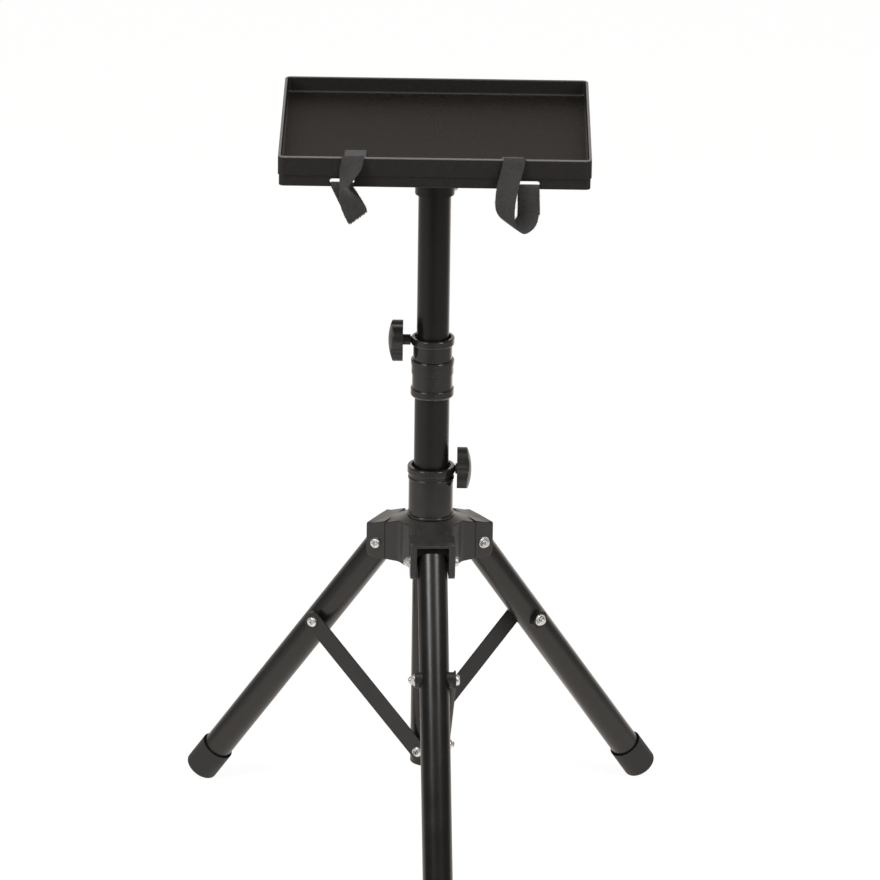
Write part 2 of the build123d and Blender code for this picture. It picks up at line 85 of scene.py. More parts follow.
def math_node(tree, operation, *values):
    """Result of one operation on numbers and sockets."""
    total = tree.nodes.new("ShaderNodeMath")
    total.operation = operation
    for socket, value in zip(total.inputs, values):
        feed(tree, socket, value)
    return total.outputs["Value"]


def noise_node(tree, vector, scale, detail, roughness=0.5):
    """Noise over the surface; scale is a number or a socket."""
    noise = tree.nodes.new("ShaderNodeTexNoise")
    tree.links.new(vector, noise.inputs["Vector"])
    feed(tree, noise.inputs["Scale"], scale)
    noise.inputs["Detail"].default_value = detail
    noise.inputs["Roughness"].default_value = roughness
    return noise.outputs["Fac"]


def spread_node(tree, value, low, high, to_low=0.0, to_high=1.0):
    """Value from low..high stretched to to_low..to_high."""
    spread = tree.nodes.new("ShaderNodeMapRange")
    tree.links.new(value, spread.inputs["Value"])
    spread.inputs["From Min"].default_value = low
    spread.inputs["From Max"].default_value = high
    spread.inputs["To Min"].default_value = to_low
    spread.inputs["To Max"].default_value = to_high
    return spread.outputs["Result"]


def blend_node(tree, factor, first, second, kind="RGBA"):
    """Colour, or value with kind FLOAT, between first and second by factor; each may be a socket."""
    blend = tree.nodes.new("ShaderNodeMix")
    blend.data_type = kind
    tree.links.new(factor, blend.inputs["Factor"])
    feed(tree, blend.inputs["A"], first)
    feed(tree, blend.inputs["B"], second)
    return blend.outputs["Result"]


def new_finish(name):
    """A material, its tree, its shader and Object coordinates."""
    finish = bpy.data.materials.new(name)
    finish.use_nodes = True
    tree = finish.node_tree
    place = tree.nodes.new("ShaderNodeTexCoord")
    return finish, tree, tree.nodes["Principled BSDF"], place.outputs["Object"]


def relief(tree, shader, height, strength, distance):
    """Small relief on the shader's normal."""
    bump = tree.nodes.new("ShaderNodeBump")
    bump.inputs["Strength"].default_value = strength
    bump.inputs["Distance"].default_value = distance
    tree.links.new(height, bump.inputs["Height"])
    tree.links.new(bump.outputs["Normal"], shader.inputs["Normal"])
    return bump


def surface(tree, shader, tone, dark, light, smooth, rough):
    """Colour and roughness that drift with the tone."""
    tree.links.new(blend_node(tree, tone, dark, light), shader.inputs["Base Color"])
    tree.links.new(spread_node(tree, tone, 0.0, 1.0, smooth, rough), shader.inputs["Roughness"])


def dress(node, finish):
    """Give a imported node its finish."""
    for slot in frame["nodes"][node].material_slots:
        slot.material = finish


# Moulded grain: fine sparks for the relief and slow blotches for the tone
mould_grain, grain_in, grain_out = new_group(
    "mould_grain",
    [("Vector", "NodeSocketVector", None), ("Grain", "NodeSocketFloat", 2200.0)],
    [("Height", "NodeSocketFloat"), ("Tone", "NodeSocketFloat")],
)
sparks = noise_node(mould_grain, grain_in.outputs["Vector"], grain_in.outputs["Grain"], 3.0, 0.6)
blotches = noise_node(mould_grain, grain_in.outputs["Vector"], 45.0, 4.0)
mould_grain.links.new(sparks, grain_out.inputs["Height"])
mould_grain.links.new(spread_node(mould_grain, blotches, 0.3, 0.7), grain_out.inputs["Tone"])


def place_group(tree, group, vector, **values):
    """One use of a shader group with its own values."""
    use = tree.nodes.new("ShaderNodeGroup")
    use.node_tree = group
    tree.links.new(vector, use.inputs["Vector"])
    for label, value in values.items():
        use.inputs[label].default_value = value
    return use


def moulded_plastic(name, dark, light, smooth, rough, gloss, grain, depth, edge_radius=0.0):
    """Black moulded plastic with a spark-eroded grain."""
    finish, tree, shader, place = new_finish(name)
    use = place_group(tree, mould_grain, place, Grain=grain)
    surface(tree, shader, use.outputs["Tone"], dark, light, smooth, rough)
    shader.inputs["Specular IOR Level"].default_value = gloss
    bump = relief(tree, shader, use.outputs["Height"], depth, 0.0002)
    if edge_radius:
        soft_edge = tree.nodes.new("ShaderNodeBevel")
        soft_edge.samples = 6
        soft_edge.inputs["Radius"].default_value = edge_radius
        tree.links.new(soft_edge.outputs["Normal"], bump.inputs["Normal"])
    return finish


hub_nylon = moulded_plastic(
    "hub_nylon", dark=(0.025, 0.0245, 0.0235), light=(0.033, 0.0325, 0.0315),
    smooth=0.3, rough=0.4, gloss=0.55, grain=2200.0, depth=0.2, edge_radius=0.0016,
)
dress("leg_hub", hub_nylon)

# Hub collar: a turned-looking sleeve of the same nylon round the main tube, smoother than the hub.
# It stands on the hub's top, and its rim takes the lower clamp screw.
collar_nylon = moulded_plastic(
    "collar_nylon", dark=(0.0125, 0.0116, 0.0108), light=(0.0165, 0.0155, 0.0145),
    smooth=0.15, rough=0.22, gloss=0.7, grain=2600.0, depth=0.06,
)
dress("hub_collar", collar_nylon)

# Legs: round steel tubes in black powder coat, which flows into a faint orange peel.
# Each is pinned in the hub and ends in a pressed-on cap.
powder_coat, coat_in, coat_out = new_group(
    "powder_coat",
    [("Vector", "NodeSocketVector", None), ("Peel", "NodeSocketFloat", 420.0)],
    [("Height", "NodeSocketFloat"), ("Tone", "NodeSocketFloat")],
)
peel = noise_node(powder_coat, coat_in.outputs["Vector"], coat_in.outputs["Peel"], 2.0, 0.4)
drift = noise_node(powder_coat, coat_in.outputs["Vector"], 30.0, 3.0)
powder_coat.links.new(peel, coat_out.inputs["Height"])
powder_coat.links.new(spread_node(powder_coat, drift, 0.3, 0.7), coat_out.inputs["Tone"])


def painted_steel(name, dark, light, smooth, rough, gloss, depth):
    """Steel under black powder coat."""
    finish, tree, shader, place = new_finish(name)
    use = place_group(tree, powder_coat, place)
    surface(tree, shader, use.outputs["Tone"], dark, light, smooth, rough)
    shader.inputs["Specular IOR Level"].default_value = gloss
    relief(tree, shader, use.outputs["Height"], depth, 0.0002)
    return finish


leg_coat = painted_steel(
    "leg_coat", dark=(0.0105, 0.0097, 0.0088), light=(0.0135, 0.0126, 0.0116),
    smooth=0.27, rough=0.33, gloss=0.5, depth=0.05,
)
for side in sides:
    dress(f"leg_tube_{side}", leg_coat)

# Foot caps: thick black rubber cups pushed over the ends of the legs, matte with a dusty bloom.
# Their mouths stand off the tube, which leaves a dark ring.
cap_rubber, tree, shader, place = new_finish("cap_rubber")
use = place_group(tree, mould_grain, place, Grain=1500.0)
surface(
    tree, shader, use.outputs["Tone"], dark=(0.022, 0.0218, 0.0212), light=(0.032, 0.0316, 0.031),
    smooth=0.55, rough=0.68,
)
shader.inputs["Specular IOR Level"].default_value = 0.4
relief(tree, shader, use.outputs["Height"], 0.3, 0.0002)
for side in sides:
    dress(f"foot_cap_{side}", cap_rubber)

# Brace saddles and seats: moulded spacers that hold the flat braces clear of the round tubes.
# They are the hub's nylon with a coarser face.
saddle_nylon = moulded_plastic(
    "saddle_nylon", dark=(0.016, 0.0152, 0.0145), light=(0.022, 0.0212, 0.0204),
    smooth=0.42, rough=0.55, gloss=0.4, grain=1800.0, depth=0.25,
)
for side in sides:
    dress(f"brace_saddles_{side}", saddle_nylon)
dress("brace_seats", saddle_nylon)

# Braces: flat steel bars punched with round ends and powder coated, flatter in sheen than the tubes.
# Each is bolted to its leg's saddle at the top and to a seat on the main tube at the foot.
brace_coat = painted_steel(
    "brace_coat", dark=(0.034, 0.0328, 0.0316), light=(0.043, 0.0418, 0.0404),
    smooth=0.46, rough=0.56, gloss=0.3, depth=0.1,
)
for side in sides:
    dress(f"brace_bar_{side}", brace_coat)

# Bolts: zinc-plated pan heads with a cross recess, driven through the hub's cheeks and the braces.
# The plate is bright with faint clouding; the plain part of each shank is a dark steel that stands in as
# painted shade where the shank shows in the gaps between the parts it joins.
zinc_plate, tree, shader, place = new_finish("zinc_plate")
clouds = spread_node(tree, noise_node(tree, place, 260.0, 5.0), 0.3, 0.7)
surface(
    tree, shader, clouds, dark=(0.74, 0.735, 0.725), light=(0.88, 0.875, 0.865), smooth=0.34, rough=0.46
)
shader.inputs["Metallic"].default_value = 1.0
relief(tree, shader, noise_node(tree, place, 2000.0, 2.0), 0.04, 0.0001)

# Dark steel: painted shade on the bolts' plain shanks in the gaps they cross, and the finish of the knobs'
# screws.
dark_steel_and_painted_shade, tree, shader, place = new_finish("dark_steel_and_painted_shade")
dark_steel_drift = noise_node(tree, place, 300.0, 3.0)
surface(
    tree, shader, dark_steel_drift, dark=(0.02, 0.019, 0.018), light=(0.04, 0.038, 0.036), smooth=0.35, rough=0.5
)
shader.inputs["Metallic"].default_value = 1.0

head_radius = 0.00625
head_height = 0.0045
shank_radius = 0.003
recess_depth = 0.0022
thread_length = 0.009
round_steps = 40


def spin_profile(bm, profile):
    """Turn a chain of (radius, height) points about Z."""
    chain = [bm.verts.new((radius, 0.0, height)) for radius, height in profile]
    edges = [bm.edges.new(pair) for pair in zip(chain, chain[1:])]
    bmesh.ops.spin(
        bm, geom=chain + edges, cent=(0, 0, 0), axis=(0, 0, 1),
        angle=2 * pi, steps=round_steps, use_merge=True,
    )


def ring_edges(bm, height, radius):
    """Edges of the ring at a height and radius."""

    def on_ring(vert):
        return abs(vert.co.z - height) < 1e-6 and abs(vert.co.xy.length - radius) < 1e-5

    return [edge for edge in bm.edges if on_ring(edge.verts[0]) and on_ring(edge.verts[1])]


def pan_head(shank_length):
    """Pan-head bolt: head from z = 0 up, shank from z = 0 down."""
    bm = bmesh.new()
    crown = head_radius * 0.66
    spin_profile(
        bm,
        [
            (0.0, -shank_length),
            (shank_radius * 0.75, -shank_length),
            (shank_radius, -shank_length + 0.0008),
            (shank_radius, -shank_length + thread_length),
            (shank_radius, 0.0),
            (head_radius, 0.0),
            (head_radius, head_height * 0.4),
            (head_radius * 0.96, head_height * 0.66),
            (head_radius * 0.85, head_height * 0.87),
            (crown, head_height),
        ],
    )
    arm = head_radius * 0.5
    half = head_radius * 0.13
    plan = [(arm, -half), (arm, half), (half, half), (half, arm), (-half, arm), (-half, half)]
    plan += [(-x, -y) for x, y in plan]
    cross = [bm.verts.new((x, y, head_height)) for x, y in plan]
    outline = [bm.edges.new((cross[i - 1], cross[i])) for i in range(len(cross))]
    bmesh.ops.triangle_fill(bm, use_beauty=True, edges=ring_edges(bm, head_height, crown) + outline)
    sunk = bmesh.ops.extrude_edge_only(bm, edges=outline)["geom"]
    floor_verts = [part for part in sunk if isinstance(part, bmesh.types.BMVert)]
    floor_edges = [part for part in sunk if isinstance(part, bmesh.types.BMEdge)]
    floor_edges = [edge for edge in floor_edges if all(vert in floor_verts for vert in edge.verts)]
    bmesh.ops.scale(bm, verts=floor_verts, vec=(0.55, 0.55, 1.0))
    bmesh.ops.translate(bm, verts=floor_verts, vec=(0, 0, -recess_depth))
    bmesh.ops.edgeloop_fill(bm, edges=floor_edges)
    # The plain shank's faces take the second material, the dark steel that paints shade in the gaps.
    for face in bm.faces:
        if thread_length - shank_length < face.calc_center_median().z < -0.001:
            face.material_index = 1
    return bm


def along_pin(origin, axis):
    """Placing matrix whose Z runs along a pin."""
    return Matrix.Translation(origin) @ Vector(axis).to_track_quat("Z", "Y").to_matrix().to_4x4()


def make_piece(bm, name, finish, body, node, matrix=None):
    """Finish a mesh as a piece that rides on a body, and stands for a node where one is named."""
    if matrix is not None:
        bmesh.ops.transform(bm, verts=bm.verts, matrix=matrix)
    bmesh.ops.remove_doubles(bm, verts=bm.verts, dist=1e-6)
    bmesh.ops.recalc_face_normals(bm, faces=bm.faces)
    mesh = bpy.data.meshes.new(name)
    bm.to_mesh(mesh)
    bm.free()
    mesh.shade_smooth()
    mesh.set_sharp_from_angle(angle=radians(32))
    mesh.materials.append(finish)
    piece = bpy.data.objects.new(name, mesh)
    bpy.context.scene.collection.objects.link(piece)
    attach(piece, body)
    if node:
        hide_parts(node)
    return piece


def reach(node, axis, origin):
    """How far a node reaches from a point along an axis."""
    verts = frame["nodes"][node].data.vertices
    return max((vert.co - origin).dot(axis) for vert in verts)


pins = {}
for side in sides:
    hinge = joints[f"leg_{side}_fold"]
    pins[f"leg_bolt_{side}"] = ("hub", Vector(hinge["pos_m"]), Vector(hinge["axis"]))
    hinge = joints[f"brace_{side}_swing"]
    pins[f"brace_bolt_{side}"] = (f"leg_{side}", Vector(hinge["pos_m"]), -Vector(hinge["axis"]))
    low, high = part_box(f"brace_foot_bolt_{side}")
    foot = Vector((0, 0, (low.z + high.z) / 2))
    pins[f"brace_foot_bolt_{side}"] = (f"brace_{side}", foot, -Vector(hinge["axis"]))
for node, (body, middle, axis) in pins.items():
    seat = reach(node, axis, middle) - head_height
    tail = seat + reach(node, -axis, middle)
    at_seat = along_pin(middle + axis * seat, axis)
    bolt = make_piece(pan_head(tail), f"{node}_head", zinc_plate, body, node, at_seat)
    bolt.data.materials.append(dark_steel_and_painted_shade)

# Lock nuts: zinc-plated hexagons with a crimped collar, one on the tail of each leg bolt and brace bolt.
# Each pulls a plain washer against the hub's cheek or the saddle.
washer_radius = 0.007
washer_height = 0.0012
nut_flats = 0.010
nut_height = 0.005
hex_height = 0.0034
hex_chamfer = 0.0005


def lock_nut():
    """Washer from z = 0 up, then the hexagon and its crimped collar."""
    bm = bmesh.new()
    rim = 0.0002
    spin_profile(
        bm,
        [
            (shank_radius, washer_height),
            (shank_radius, 0.0),
            (washer_radius, 0.0),
            (washer_radius, washer_height - rim),
            (washer_radius - rim, washer_height),
            (shank_radius, washer_height),
        ],
    )
    lift = Matrix.Translation((0, 0, washer_height))
    hexagon = bmesh.ops.create_circle(
        bm, cap_ends=True, segments=6, radius=nut_flats / sqrt(3), matrix=lift
    )["verts"]
    base = list({face for vert in hexagon for face in vert.link_faces})
    grown = bmesh.ops.extrude_face_region(bm, geom=base)["geom"]
    top = [part for part in grown if isinstance(part, bmesh.types.BMVert)]
    bmesh.ops.translate(bm, verts=top, vec=(0, 0, hex_height))
    corners = [edge for edge in bm.edges if edge.verts[0] in top and edge.verts[1] in top]
    bmesh.ops.bevel(
        bm, geom=corners, offset=hex_chamfer, offset_type="OFFSET", affect="EDGES",
        segments=2, profile=0.5, material=-1,
    )
    shoulder = washer_height + hex_height
    collar = nut_flats * 0.45
    spin_profile(
        bm,
        [
            (collar, shoulder - rim),
            (collar, shoulder + 0.0009),
            (collar * 0.93, shoulder + 0.0014),
            (collar * 0.78, washer_height + nut_height),
            (shank_radius, washer_height + nut_height - 0.0003),
            (shank_radius, shoulder - rim),
        ],
    )
    return bm


for side in sides:
    for node, bolt in ((f"leg_nut_{side}", f"leg_bolt_{side}"), (f"brace_nut_{side}", f"brace_bolt_{side}")):
        body, middle, axis = pins[bolt]
        seat = reach(node, -axis, middle) - washer_height - nut_height
        at_seat = along_pin(middle - axis * seat, -axis)
        make_piece(lock_nut(), f"{node}_lock", zinc_plate, body, node, at_seat)

# Main tube: the larger steel tube in black powder coat, darker than the legs.
# It slides in the hub and has a moulded plug pressed into its foot.
tube_coat = painted_steel(
    "tube_coat", dark=(0.0078, 0.0066, 0.0058), light=(0.0105, 0.0091, 0.0081),
    smooth=0.27, rough=0.33, gloss=0.42, depth=0.05,
)
dress("main_tube", tube_coat)
dress("tube_plug", saddle_nylon)

# Upper collar: nylon sleeve on top of the main tube, with a rim, a middle ring and a rounded foot.
# It is moulded in two halves, which leaves a fine parting ridge down the front and the back.
sleeve_nylon = moulded_plastic(
    "sleeve_nylon", dark=(0.0175, 0.0166, 0.0156), light=(0.0225, 0.0214, 0.0203),
    smooth=0.15, rough=0.22, gloss=0.7, grain=2600.0, depth=0.06,
)
dress("upper_collar", sleeve_nylon)
low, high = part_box("upper_collar")
ridge_half = 0.0003
ridge_rise = 0.00025
ridge_round = 0.00012
neck_radius = 0.0229
band_radius = 0.0246
skirt_radius = 0.0237
foot_radius = 0.0254
ridge_runs = [
    (neck_radius, high.z - 0.0265, high.z - 0.0095),
    (foot_radius, high.z - 0.0310, high.z - 0.0286),
    (band_radius, high.z - 0.0440, high.z - 0.0328),
    (skirt_radius, low.z + 0.0115, high.z - 0.0450),
    (foot_radius, low.z + 0.0036, low.z + 0.0093),
]
bm = bmesh.new()
for front in (-1, 1):
    for radius, bottom, top in ridge_runs:
        grown = bmesh.ops.create_cube(bm, size=1.0)["verts"]
        bmesh.ops.scale(bm, verts=grown, vec=(2 * ridge_half, 2 * ridge_rise, top - bottom))
        bmesh.ops.translate(bm, verts=grown, vec=(0, front * radius, (top + bottom) / 2))
bmesh.ops.bevel(
    bm, geom=bm.edges[:], offset=ridge_round, offset_type="OFFSET", affect="EDGES",
    segments=2, profile=0.5, material=-1,
)
make_piece(bm, "upper_collar_parting_ridge", sleeve_nylon, "column", None)

# Upper tube: the smaller steel tube, in the main tube's coat.
# It carries the tray and slides in the main tube.
dress("upper_tube", tube_coat)

# Clamp knobs: lobed nylon grips, one for each collar.
# Each is moulded round a steel screw that presses on the tube.
knob_nylon = moulded_plastic(
    "knob_nylon", dark=(0.013, 0.0124, 0.0118), light=(0.018, 0.0173, 0.0166),
    smooth=0.36, rough=0.46, gloss=0.5, grain=2000.0, depth=0.2, edge_radius=0.0012,
)
for name in ("upper", "lower"):
    dress(f"{name}_knob", knob_nylon)
    dress(f"{name}_knob_screw", dark_steel_and_painted_shade)

# Tray socket: a powder-coated steel cup on a round flange, fixed under the tray's floor.
# It drops over the upper tube and is held by a small zinc-plated screw.
dress("tray_socket", tube_coat)
dress("socket_screw", zinc_plate)

# Tray: one injection-moulded pan with a lip and a slotted skirt, in black plastic with a pebbled grain.
# The grain is strongest on the floor; the lip's edge is smooth, and its top band is painted light grey as a
# painted highlight.
pebble_grain, pebble_in, pebble_out = new_group(
    "pebble_grain",
    [("Vector", "NodeSocketVector", None), ("Pebbles", "NodeSocketFloat", 900.0)],
    [("Height", "NodeSocketFloat"), ("Tone", "NodeSocketFloat")],
)
cells = pebble_grain.nodes.new("ShaderNodeTexVoronoi")
cells.feature = "SMOOTH_F1"
cells.inputs["Smoothness"].default_value = 0.6
pebble_grain.links.new(pebble_in.outputs["Vector"], cells.inputs["Vector"])
pebble_grain.links.new(pebble_in.outputs["Pebbles"], cells.inputs["Scale"])
pebble_grain.links.new(cells.outputs["Distance"], pebble_out.inputs["Height"])
specks = noise_node(pebble_grain, pebble_in.outputs["Vector"], 210.0, 6.0, 0.8)
pebble_grain.links.new(spread_node(pebble_grain, specks, 0.35, 0.7), pebble_out.inputs["Tone"])

tray_finish, tree, shader, place = new_finish("tray_plastic")
use = place_group(tree, pebble_grain, place, Pebbles=900.0)
tree.links.new(spread_node(tree, use.outputs["Tone"], 0.0, 1.0, 0.46, 0.6), shader.inputs["Roughness"])
speckle = blend_node(tree, use.outputs["Tone"], (0.0045, 0.0034, 0.0028), (0.0285, 0.0245, 0.0200))
plain = blend_node(tree, use.outputs["Tone"], (0.0098, 0.0080, 0.0071), (0.0132, 0.0112, 0.0098))
# Light grey on the lip's top band: a painted highlight of the overhead lamp, not a colour of the plastic.
lip_highlight_grey = (0.145, 0.140, 0.134)
tray_low, tray_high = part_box("tray_pan")
steps = tree.nodes.new("ShaderNodeSeparateXYZ")
tree.links.new(place, steps.inputs["Vector"])
in_pan = spread_node(tree, steps.outputs["Z"], tray_high.z - 0.0006, tray_high.z - 0.0022, 0.0, 1.0)
relief(tree, shader, math_node(tree, "MULTIPLY", use.outputs["Height"], in_pan), 0.4, 0.0005)
facing = tree.nodes.new("ShaderNodeNewGeometry")
turned_up = tree.nodes.new("ShaderNodeSeparateXYZ")
tree.links.new(facing.outputs["Normal"], turned_up.inputs["Vector"])
level_face = spread_node(tree, turned_up.outputs["Z"], 0.7, 0.95)
below_lip = spread_node(tree, steps.outputs["Z"], tray_high.z - 0.009, tray_high.z - 0.015)
floor_mask = math_node(tree, "MULTIPLY", level_face, below_lip)
tree.links.new(spread_node(tree, floor_mask, 0.0, 1.0, 0.45, 0.06), shader.inputs["Specular IOR Level"])
grained = blend_node(tree, floor_mask, plain, speckle)
# Mask of the lip's top band, where the painted highlight goes.
lip_highlight_band = spread_node(tree, steps.outputs["Z"], tray_high.z - 0.0016, tray_high.z - 0.0004)
tree.links.new(blend_node(tree, lip_highlight_band, grained, lip_highlight_grey), shader.inputs["Base Color"])
dress("tray_pan", tray_finish)

# Straps: 25 mm black hook-and-loop webbing, fuzzy on its loop side, threaded through the skirt's slots.
# Each comes over the front lip from the tray's floor and hangs in a loose loop.
# Its end goes through the front slot, round the bar below it, and is box stitched to itself.
webbing, tree, shader, place = new_finish("webbing")
cloth = tree.nodes.new("ShaderNodeUVMap")
cloth.uv_map = "weave"
ribs = tree.nodes.new("ShaderNodeTexWave")
ribs.inputs["Scale"].default_value = 9.0
ribs.inputs["Distortion"].default_value = 1.5
ribs.inputs["Detail"].default_value = 2.0
ribs.bands_direction = "Y"
tree.links.new(cloth.outputs["UV"], ribs.inputs["Vector"])
fuzz = noise_node(tree, place, 1500.0, 6.0, 0.75)
clumps = noise_node(tree, place, 420.0, 4.0, 0.7)
tufts = math_node(tree, "MULTIPLY_ADD", clumps, 0.4, math_node(tree, "MULTIPLY", fuzz, 0.6))
nap = math_node(tree, "MULTIPLY_ADD", ribs.outputs["Fac"], 0.25, fuzz)
pile = spread_node(tree, tufts, 0.36, 0.66)
tree.links.new(
    blend_node(tree, pile, (0.024, 0.0232, 0.0228), (0.062, 0.0605, 0.0595)), shader.inputs["Base Color"]
)
tree.links.new(spread_node(tree, clumps, 0.3, 0.7, 0.85, 1.0), shader.inputs["Roughness"])
shader.inputs["Specular IOR Level"].default_value = 0.2
shader.inputs["Sheen Weight"].default_value = 0.25
shader.inputs["Sheen Roughness"].default_value = 0.45
shader.inputs["Sheen Tint"].default_value = (0.75, 0.75, 0.75, 1.0)
relief(tree, shader, nap, 0.7, 0.0006)

strap_half_width = 0.0125
strap_thickness = 0.0016
row_length = 0.003
cup_depth = 0.0005
cup_waves = 55.0
line_steps = 24
slope_step = 0.002
lip = Vector((0, tray_low.y, tray_high.z))


def smooth_run(points):
    """Points along a smooth line through the given ones."""
    ends = [points[0] * 2 - points[1], *points, points[-1] * 2 - points[-2]]
    fine = []
    for a, b, c, d in zip(ends, ends[1:], ends[2:], ends[3:]):
        for step in range(line_steps):
            t = step / line_steps
            square = (2 * a - 5 * b + 4 * c - d) * t**2
            cube = (3 * b - a - 3 * c + d) * t**3
            fine.append(0.5 * (2 * b + (c - a) * t + square + cube))
    fine.append(points[-1])
    return fine


def strap_line(stations):
    """Middle points and cross directions down a strap, and the length to each point."""
    middles = [lip + Vector(middle) / 1000 for middle, across in stations]
    acrosses = [Vector(across) for middle, across in stations]
    fine_middles = smooth_run(middles)
    fine_acrosses = [across.normalized() for across in smooth_run(acrosses)]
    lengths = [0.0]
    for a, b in zip(fine_middles, fine_middles[1:]):
        lengths.append(lengths[-1] + (b - a).length)
    return fine_middles, fine_acrosses, lengths


def at_length(line, distance):
    """Middle point and cross direction at a distance along a strap."""
    middles, acrosses, lengths = line
    distance = min(max(distance, 0.0), lengths[-1])
    for i in range(len(lengths) - 1):
        if lengths[i + 1] >= distance:
            break
    t = (distance - lengths[i]) / max(lengths[i + 1] - lengths[i], 1e-9)
    return middles[i].lerp(middles[i + 1], t), acrosses[i].lerp(acrosses[i + 1], t).normalized()


def strap_frame(line, along):
    """Middle, cross direction, running direction and face direction of a strap."""
    middle, across = at_length(line, along)
    after = at_length(line, along + slope_step)[0]
    before = at_length(line, along - slope_step)[0]
    ahead = (after - before).normalized()
    return middle, across, ahead, across.cross(ahead).normalized()


def ribbon(name, line):
    """The strap's webbing, cupped a little as it hangs."""
    length = line[2][-1]
    rows = int(length / row_length)
    bm = bmesh.new()
    weave = bm.loops.layers.uv.new("weave")
    bmesh.ops.create_grid(bm, x_segments=8, y_segments=rows, size=1.0)
    sheet_place = {}
    for vert in bm.verts:
        sheet_place[vert] = (vert.co.x, length * (vert.co.y + 1) / 2)
    for face in bm.faces:
        for loop in face.loops:
            across, along = sheet_place[loop.vert]
            loop[weave].uv = ((across + 1) / 2, along / (2 * strap_half_width))
    for vert, (across, along) in sheet_place.items():
        middle, side_way, ahead, face_way = strap_frame(line, along)
        cup = cup_depth * (across**2 - 0.4) * sin(along * cup_waves)
        vert.co = middle + side_way * across * strap_half_width + face_way * cup
    mesh = bpy.data.meshes.new(name)
    bm.to_mesh(mesh)
    bm.free()
    mesh.shade_smooth()
    mesh.materials.append(webbing)
    piece = bpy.data.objects.new(name, mesh)
    bpy.context.scene.collection.objects.link(piece)
    wall = piece.modifiers.new("thickness", "SOLIDIFY")
    wall.thickness = strap_thickness
    wall.offset = 0.0
    soft_edge = piece.modifiers.new("soft_edge", "BEVEL")
    soft_edge.width = strap_thickness * 0.3
    soft_edge.segments = 2
    soft_edge.limit_method = "ANGLE"
    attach(piece, "tray")
    return piece


# Stations: middle (from the front lip's middle, in mm) and the direction across the webbing
level = (1, 0, 0)
right_stations = [
    ((88.4, 66, -17.6), level),
    ((89.0, 44, -17.6), level),
    ((89.6, 22, -17.6), level),
    ((90.4, 8, -16.4), level),
    ((90.8, 4.4, -10), level),
    ((91.0, 4.0, -2), level),
    ((91.0, 1.5, 1.3), level),
    ((89.8, -1.6, -1.5), level),
    ((87.9, -4, -11), level),
    ((83.9, -9, -25), (0.98, -0.15, 0)),
    ((81.0, -14, -40), (0.93, -0.35, 0)),
    ((80.2, -18, -55), (0.85, -0.5, -0.1)),
    ((83.6, -20, -67), (0.75, -0.6, -0.28)),
    ((94.0, -17, -75.4), (0.72, -0.6, -0.35)),
    ((104.2, -10, -70), (0.85, -0.45, -0.28)),
    ((106.7, -5.5, -58), (0.98, -0.15, -0.1)),
    ((106.8, -4.6, -44), level),
    ((106.4, -3.4, -34), level),
    ((106.3, -2.2, -31.0), level),
    ((106.2, 0.5, -30.3), level),
    ((106.2, 4.0, -30.6), level),
    ((106.2, 5.6, -33.0), level),
    ((106.2, 4.6, -36.2), level),
    ((106.4, 1.5, -37.2), level),
    ((106.7, -0.6, -40.5), level),
    ((107.1, -2.2, -50), (1, 0.02, 0)),
    ((107.6, -3.0, -62.5), (0.98, -0.13, -0.08)),
]
left_stations = [
    ((-90.8, 84, -17.6), level),
    ((-91.4, 52, -17.6), level),
    ((-92.0, 22, -17.6), level),
    ((-92.8, 8, -16.4), level),
    ((-93.0, 4.4, -10), level),
    ((-93.0, 4.0, -2), level),
    ((-93.0, 1.5, 1.3), level),
    ((-93.1, -1.6, -1.5), level),
    ((-94.6, -5, -9), (0.97, -0.22, 0)),
    ((-98.6, -10, -18), (0.7, -0.71, 0)),
    ((-102.4, -14, -28), (0.4, -0.91, 0.02)),
    ((-98.6, -14, -39), (0.7, -0.68, 0.12)),
    ((-94.4, -11.5, -52), (0.93, -0.25, 0.28)),
    ((-89.0, -9.5, -64), (0.85, 0.0, 0.5)),
    ((-86.2, -7.2, -69.5), (0.79, 0.05, 0.61)),
    ((-88.6, -4.8, -63), (0.88, 0.05, 0.45)),
    ((-94.8, -4.2, -51), (0.95, 0, 0.25)),
    ((-100.8, -4.0, -40), (1, 0, 0.1)),
    ((-104.2, -3.2, -34), level),
    ((-104.6, -2.2, -31.0), level),
    ((-105.0, 0.5, -30.3), level),
    ((-105.0, 4.0, -30.6), level),
    ((-105.0, 5.6, -33.0), level),
    ((-104.8, 4.6, -36.2), level),
    ((-103.8, 1.5, -37.2), level),
    ((-100.8, -0.8, -41.5), (1, 0, 0.1)),
    ((-96.6, -1.8, -49), (0.96, 0, 0.24)),
    ((-92.6, -2.4, -56), (0.9, 0.02, 0.4)),
]
shortest_loop = 0.1
slot_mouth = 0.002
stitch_length = 0.0022
stitch_width = 0.0005
stitch_pitch = 0.0028
sewn_rows = (0.007, 0.018)
fibre_count = 520
fibre_lengths = (0.0006, 0.0022)
fibre_foot = 0.00011
fold_fibre_count = 90
fold_fibre_lengths = (0.0024, 0.0042)
fold_fibre_foot = 0.0007
fold_fibre_root = 0.0022
draw = random.Random(7)


def sew(name, line, slot_at):
    """Thread on the face of the strand below its slot: two rows across and two down the sides."""
    bm = bmesh.new()
    inset = strap_half_width * 0.78
    spots = []
    for drop in sewn_rows:
        spots += [(slot_at - drop, inset * (i / 4 - 1), "across") for i in range(9)]
    for edge in (-inset, inset):
        spots += [(slot_at - sewn_rows[0] - stitch_pitch * i, edge, "along") for i in range(1, 4)]
    for along, offset, way in spots:
        middle, across, ahead, face = strap_frame(line, along)
        run = across if way == "across" else ahead
        turn = Matrix((run, face.cross(run), face)).transposed().to_4x4()
        spot = Matrix.Translation(middle + across * offset + face * strap_thickness * 0.55)
        size = Matrix.Diagonal((stitch_length, stitch_width, stitch_width * 0.7, 1.0))
        bmesh.ops.create_cube(bm, size=1.0, matrix=spot @ turn @ size)
    return make_piece(bm, name, webbing, "tray", None)


